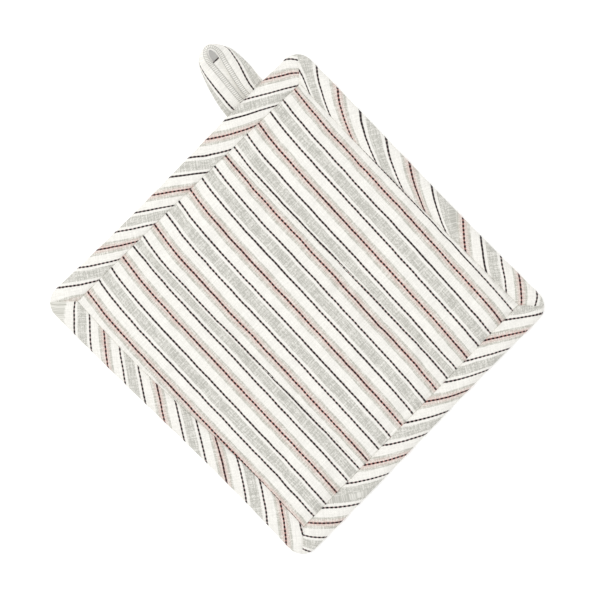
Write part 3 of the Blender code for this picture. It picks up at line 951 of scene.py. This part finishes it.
# Upward normals: the cross product of the grid's two directions of travel.
normals = unit(np.cross(np.gradient(middle, axis=0), np.gradient(middle, axis=1)))
round_edge = 1.0 - np.abs(2 * FROM_INNER / TAPE_WIDTH - 1) ** EDGE_SHARPNESS
thick = TAPE_THICKNESS / 2 * np.sqrt(round_edge)
for inset in STITCH_INSET:
    dimple = np.exp(-(((FROM_INNER - inset) / DIMPLE_WIDTH) ** 2))
    thick = thick - DIMPLE * dimple * (thick > DIMPLE)
front = middle + normals * thick[None, :, None]
behind = middle - normals * thick[None, :, None]

travelled = distance_along(middle[:, len(FROM_INNER) // 2])
tape_length = travelled[-1]
print(f"the tape is {tape_length:.1f} mm long along its middle")

# Across the tape the cloth is white up to the near-black line, and then grey.
TO_WHITE = 3.0
TO_GREY = 1.2
beyond = FROM_INNER - loop_rows[:, 6:]
across = DARK_LINE + np.where(beyond < 0, np.maximum(beyond, -TO_WHITE), TO_GREY * beyond)
tape_spots = np.dstack([across, travelled[:, None] + 0 * across])
tape = make_band("hanging_tape", front, behind, tape_spots)
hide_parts("hanging_loop")
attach(tape, "root")
report(tape)

# %% The wedge of under layer between the legs
WEDGE_ENDS = (-1.0, 26.4)
WEDGE_ROWS = 30
# Across the wedge: shares of the gap between the legs, and millimetres past it under each.
WEDGE_SHARE = np.array([0.0, 0.0, 0.0, 0.25, 0.5, 0.75, 1.0, 1.0, 1.0])
WEDGE_TUCK = np.array([-0.5, -0.2, 0.0, 0.0, 0.0, 0.0, 0.0, 0.3, 0.6])
WEDGE_THICKNESS = 0.8
WEDGE_LIFT = 0.6
WEDGE_FALL = 1.0
WEDGE_CLOTH = 6.0
WEDGE_PULL = 0.1
FALL_BEYOND = 0.4
FALL_LEAST = 1.0
# Painted shadow: the middle of the near-black line drawn along the wedge's end lies this many
# millimetres in from the end.
END_SHADOW_LINE = 0.2


def leg_edge(leg, y):
    """x and height of the inner edge of one leg, a slice of the tape, at distances y."""
    edge = middle[leg, 0]
    edge_x, edge_y, edge_z = edge[np.argsort(edge[:, 1])].T
    return np.interp(y, edge_y, edge_x), np.interp(y, edge_y, edge_z)


wedge_y = LOOP_ROOT[1] + np.linspace(*WEDGE_ENDS, WEDGE_ROWS)
tip = int(np.argmax(loop_rows[:, 1]))
left_x, left_z = leg_edge(slice(0, tip), wedge_y)
right_x, right_z = leg_edge(slice(tip, None), wedge_y)
beyond_left = (right_x - left_x)[:, None] * WEDGE_SHARE + WEDGE_TUCK
fall = smooth_step(beyond_left / np.maximum(right_x - left_x + FALL_BEYOND, FALL_LEAST)[:, None])
wedge_z = np.minimum(left_z, right_z)[:, None] + WEDGE_LIFT - WEDGE_FALL * fall
wedge_y = wedge_y[:, None] + 0 * beyond_left
wedge_top = np.dstack([left_x[:, None] + beyond_left, wedge_y, wedge_z])
# The cloth is white but for a painted shadow along its end, at the lower side of the eye, in the
# colour of the near-black stripe.
painted_end_shadow = DARK_LINE + END_SHADOW_LINE + wedge_y - wedge_y[-1]
wedge_across = np.maximum(WEDGE_CLOTH + WEDGE_PULL * beyond_left, painted_end_shadow)
wedge_spots = np.dstack([wedge_across, wedge_y + beyond_left])
wedge_under = wedge_top - [0.0, 0.0, WEDGE_THICKNESS]
wedge = make_band("tape_underlap", wedge_top, wedge_under, wedge_spots)
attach(wedge, "root")
report(wedge)

# %% [markdown]
# ## Thread
#
# Three kinds of sewing show: running stitches in the quilting lines, on both faces of the pad, a
# row that holds the binding down behind, and a close zigzag along the tape's inner edge. A stitch
# is a short tube of thread whose ends dive into the cloth.

# %% Stitch helper
THREAD_SIDES = 6


def thread_tubes(name, paths, radius, material):
    """One mesh of many tubes. paths has the shape stitches x points x 3, in millimetres.

    Each ring of points lies across its path: the radius times the cosine of the ring angle
    sideways, and times the sine upwards.
    """
    forward = unit(np.gradient(paths, axis=1))
    sideways = unit(np.cross(forward, [0.0, 0.0, 1.0]))
    upwards = np.cross(sideways, forward)
    angle = np.linspace(0.0, 2 * math.pi, THREAD_SIDES, endpoint=False)
    ring = sideways[:, :, None] * np.cos(angle)[:, None]
    ring = ring + upwards[:, :, None] * np.sin(angle)[:, None]
    points = (paths[:, :, None] + radius * ring).reshape(-1, 3)
    piece = make_piece(name, points, tube_faces(*paths.shape[:2], THREAD_SIDES), material)
    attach(piece, "root")
    report(piece)
    return piece


# %% Quilting stitches
STITCH_LENGTH = 2.7
STITCH_PITCH = 3.45
STITCH_MARGIN = 4.0
THREAD_RADIUS = 0.19
ARC = np.array([-1.0, -0.72, 0.0, 0.72, 1.0])
ARC_HEIGHT = np.array([-0.30, 0.07, 0.13, 0.07, -0.30])


def surface_finder(piece):
    """A function that gives the height of a piece's top (side 1) or underside (-1) at a point."""
    tree = BVHTree.FromObject(finished(piece), bpy.context.evaluated_depsgraph_get())

    def height(x, y, side):
        start = Vector((x * MM, y * MM, 0.1 * side))
        found = tree.ray_cast(start, Vector((0, 0, -side)))[0]
        return found.z / MM if found is not None else 0.0

    return height


def quilting_paths(height, side):
    """Stitch paths along both quilting lines, following the sewn column of the pad's grid."""
    paths = []
    for column in quilt_columns:
        line = plan[:, column]
        total = line[-1, 1] - line[0, 1]
        count = int((total - 2 * STITCH_MARGIN) / STITCH_PITCH)
        middles = line[0, 1] + STITCH_MARGIN + (np.arange(count) + 0.5) * STITCH_PITCH
        for at in middles:
            y = at + ARC * STITCH_LENGTH / 2
            x = np.interp(y, line[:, 1], line[:, 0])
            z = np.array([height(a, b, side) for a, b in zip(x, y)])
            paths.append(np.column_stack([x, y, z + ARC_HEIGHT * side]))
    return np.array(paths)


pad_height = surface_finder(pad)
for name, side in (("quilting_stitches_front", 1), ("quilting_stitches_back", -1)):
    thread_tubes(name, quilting_paths(pad_height, side), THREAD_RADIUS, WHITE_SEWING)

# %% Stitches that hold the binding down behind
HEM_INSET = 1.6
HEM_MARGIN = 1.5
HEM_ARC = 0.8
HEM_SINK = 0.08
HEM_RADIUS = 0.17


def hem_paths():
    """Stitches round the back of the binding, just inside its folded edge."""
    paths = []
    for name in SIDES:
        outwards, length = side_axes(name, SEAM_CORNERS)[2:]
        count = int((length - 2 * HEM_MARGIN) / STITCH_PITCH)
        middles = (np.arange(count) + 0.5) / count
        shares = middles[:, None] + ARC[None, :] * STITCH_LENGTH / 2 / length
        spots = seam_side(name, shares.ravel()).reshape(count, len(ARC), 2) + outwards * HEM_INSET
        paths.append(np.dstack([spots, lift(spots) - ARC_HEIGHT * HEM_ARC + HEM_SINK]))
    return np.concatenate(paths)


hem_stitches = thread_tubes("binding_stitches_back", hem_paths(), HEM_RADIUS, WHITE_SEWING)

# %% Zigzag along the tape's inner edge
ZIGZAG_STEP = 1.15
ZIGZAG_START = 9.0
ZIGZAG_RADIUS = 0.2
RUNG_ALONG = np.array([0.0, 0.1, 0.25, 0.4, 0.5])
RAIL_ALONG = np.linspace(0.05, 0.85, 5) * ZIGZAG_STEP
RUNG_LIFT = 0.06
RAIL_LIFT = 0.10


def tape_point(distance, from_edge, above):
    """Points on the tape's front, `above` it, at distances along it and from its inner edge."""
    row = np.interp(distance, travelled, np.arange(len(travelled)))
    column = np.interp(from_edge, FROM_INNER, np.arange(len(FROM_INNER)))
    low_row = np.clip(row.astype(int), 0, len(travelled) - 2)
    low_column = np.clip(column.astype(int), 0, len(FROM_INNER) - 2)
    r, c = (row - low_row)[..., None], (column - low_column)[..., None]
    lifted = front + normals * above
    inner = lifted[low_row, low_column] * (1 - r) + lifted[low_row + 1, low_column] * r
    outer = lifted[low_row, low_column + 1] * (1 - r) + lifted[low_row + 1, low_column + 1] * r
    return inner * (1 - c) + outer * c


count = int((tape_length - 2 * ZIGZAG_START) / ZIGZAG_STEP)
posts = ZIGZAG_START + np.arange(count)[:, None] * ZIGZAG_STEP
rungs = tape_point(posts + RUNG_ALONG, np.linspace(*STITCH_INSET, 5) + 0 * posts, RUNG_LIFT)
ahead = posts + RAIL_ALONG
rails = [tape_point(ahead, inset + 0 * ahead, RAIL_LIFT) for inset in STITCH_INSET]
paths = np.concatenate([rungs, *rails])
zigzag = thread_tubes("tape_zigzag", paths, ZIGZAG_RADIUS, GREY_SEWING)

# %% [markdown]
# ## Floor, light and camera
#
# The photo looks straight down on a white surface, bright and with hardly any shadow. A sheet of
# opal acrylic lit faintly from below, a bright even surround and one very large lamp give that.
# The camera has a long lens and is turned by 45 degrees, so that the loop is at the top left.

# %% Stage
FLOOR_DROP = 0.3
FLOOR_REACH = 2000.0
SKY_STRENGTH = 0.84
LAMP_POWER = 10.0
LAMP_SIZE = 1.4
LAMP_PLACE = (-0.2, 0.45, 1.4)


def lit_acrylic(name, hex_colour, glow):
    """Opal acrylic over a lamp: matt, glowing a little, with faint broad mottling."""
    made, node = new_material(name)
    place = node("TexCoord").outputs["Object"]
    cloud = node("TexNoise", {"Vector": place, "Scale": 3.0})
    ends = {6: linear(hex_colour, 0.985), 7: linear(hex_colour)}
    colour = node("Mix", {0: cloud, **ends}, data_type="RGBA")
    lit = {"Emission Color": linear("FFFFFF"), "Emission Strength": glow}
    shader = node("BsdfPrincipled", {"Base Color": colour, "Roughness": 0.9, **lit})
    node("OutputMaterial", {"Surface": shader})
    return made


acrylic = lit_acrylic("Opal acrylic, lit from below", "FCFCFB", glow=0.15)
floor_points = np.array([[-1, -1, 0], [1, -1, 0], [1, 1, 0], [-1, 1, 0]]) * FLOOR_REACH
floor = make_piece("floor", floor_points - [0.0, 0.0, FLOOR_DROP], [[0, 1, 2, 3]], acrylic)

world = bpy.data.worlds.new("studio")
bpy.context.scene.world = world
world.use_nodes = True
sky = world.node_tree.nodes["Background"]
sky.inputs["Color"].default_value = linear("FFFFFF")
sky.inputs["Strength"].default_value = SKY_STRENGTH

lamp_data = bpy.data.lights.new("soft_box", "AREA")
lamp_data.shape = "SQUARE"
lamp_data.size = LAMP_SIZE
lamp_data.energy = LAMP_POWER
lamp = new_object("soft_box", lamp_data)
lamp.location = LAMP_PLACE
lamp.rotation_euler = (-lamp.location).to_track_quat("-Z", "Y").to_euler()

# %% Camera
FIELD = 0.33
LENS = 200.0
SENSOR = 36.0
FOCUS_HEIGHT = 6.0 * MM
camera_data = bpy.data.cameras.new("camera")
camera_data.lens = LENS
camera_data.sensor_width = SENSOR
camera_data.clip_end = 20.0
camera = new_object("camera", camera_data)
camera.location = (0.0, 0.0, FIELD * LENS / SENSOR + FOCUS_HEIGHT)
camera.rotation_euler = (0.0, 0.0, math.radians(-45.0))
bpy.context.scene.camera = camera
bpy.context.scene.view_settings.view_transform = "Standard"
